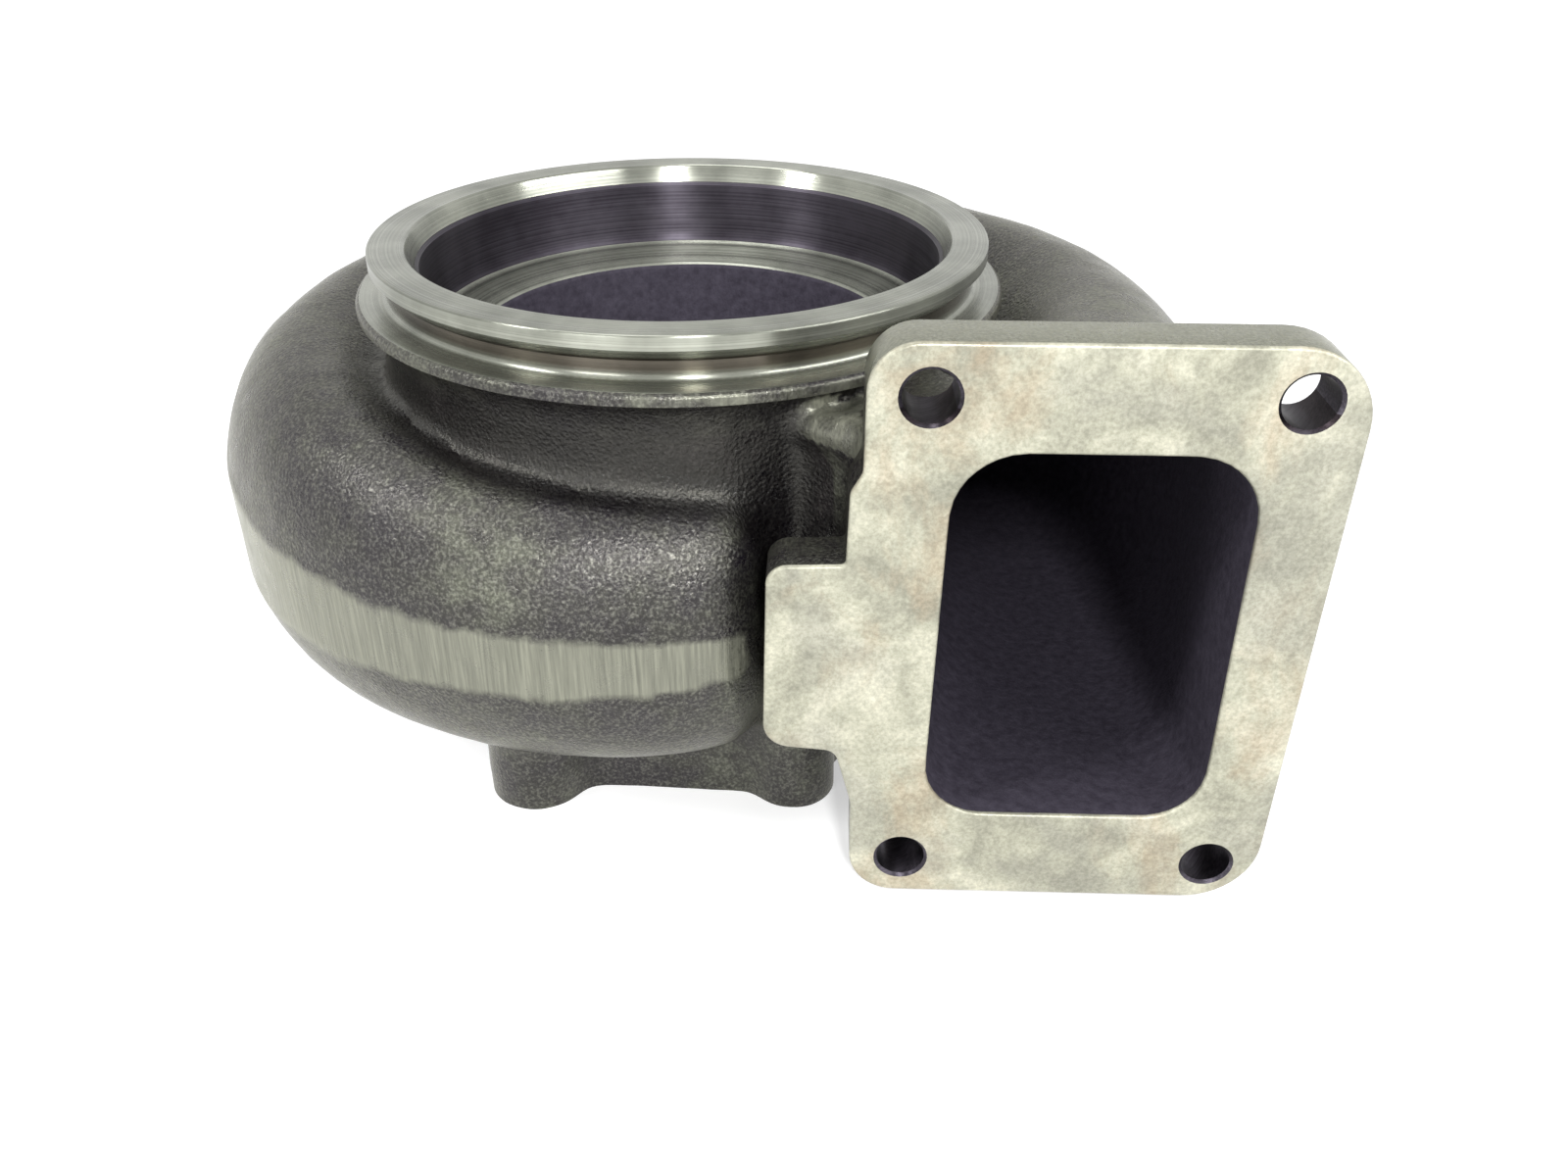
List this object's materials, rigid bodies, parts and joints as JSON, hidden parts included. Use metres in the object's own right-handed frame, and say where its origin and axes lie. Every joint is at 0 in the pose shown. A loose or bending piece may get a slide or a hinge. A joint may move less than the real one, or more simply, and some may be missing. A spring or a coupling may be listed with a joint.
{
  "type": "turbocharger turbine housing",
  "caption": "Cast iron scroll housing for a turbocharger turbine, with a V-band outlet flange, a rectangular inlet duct with a bolted flange and a stepped bore.",
  "frame": {"origin": "middle of the part's floor plan, on the base face that the bearing housing bolts to", "axes": "+Z along the turbine axis, out of the V-band outlet; the inlet flange faces -Y; +X is the longest way across"},
  "size_m": [0.2604, 0.2202, 0.1362],
  "materials": {
    "cast_iron": "rough sand-cast skin, with turned and milled faces"
  },
  "bodies": {
    "root": {"turbine_housing": "cast_iron"}
  },
  "joints": []
}
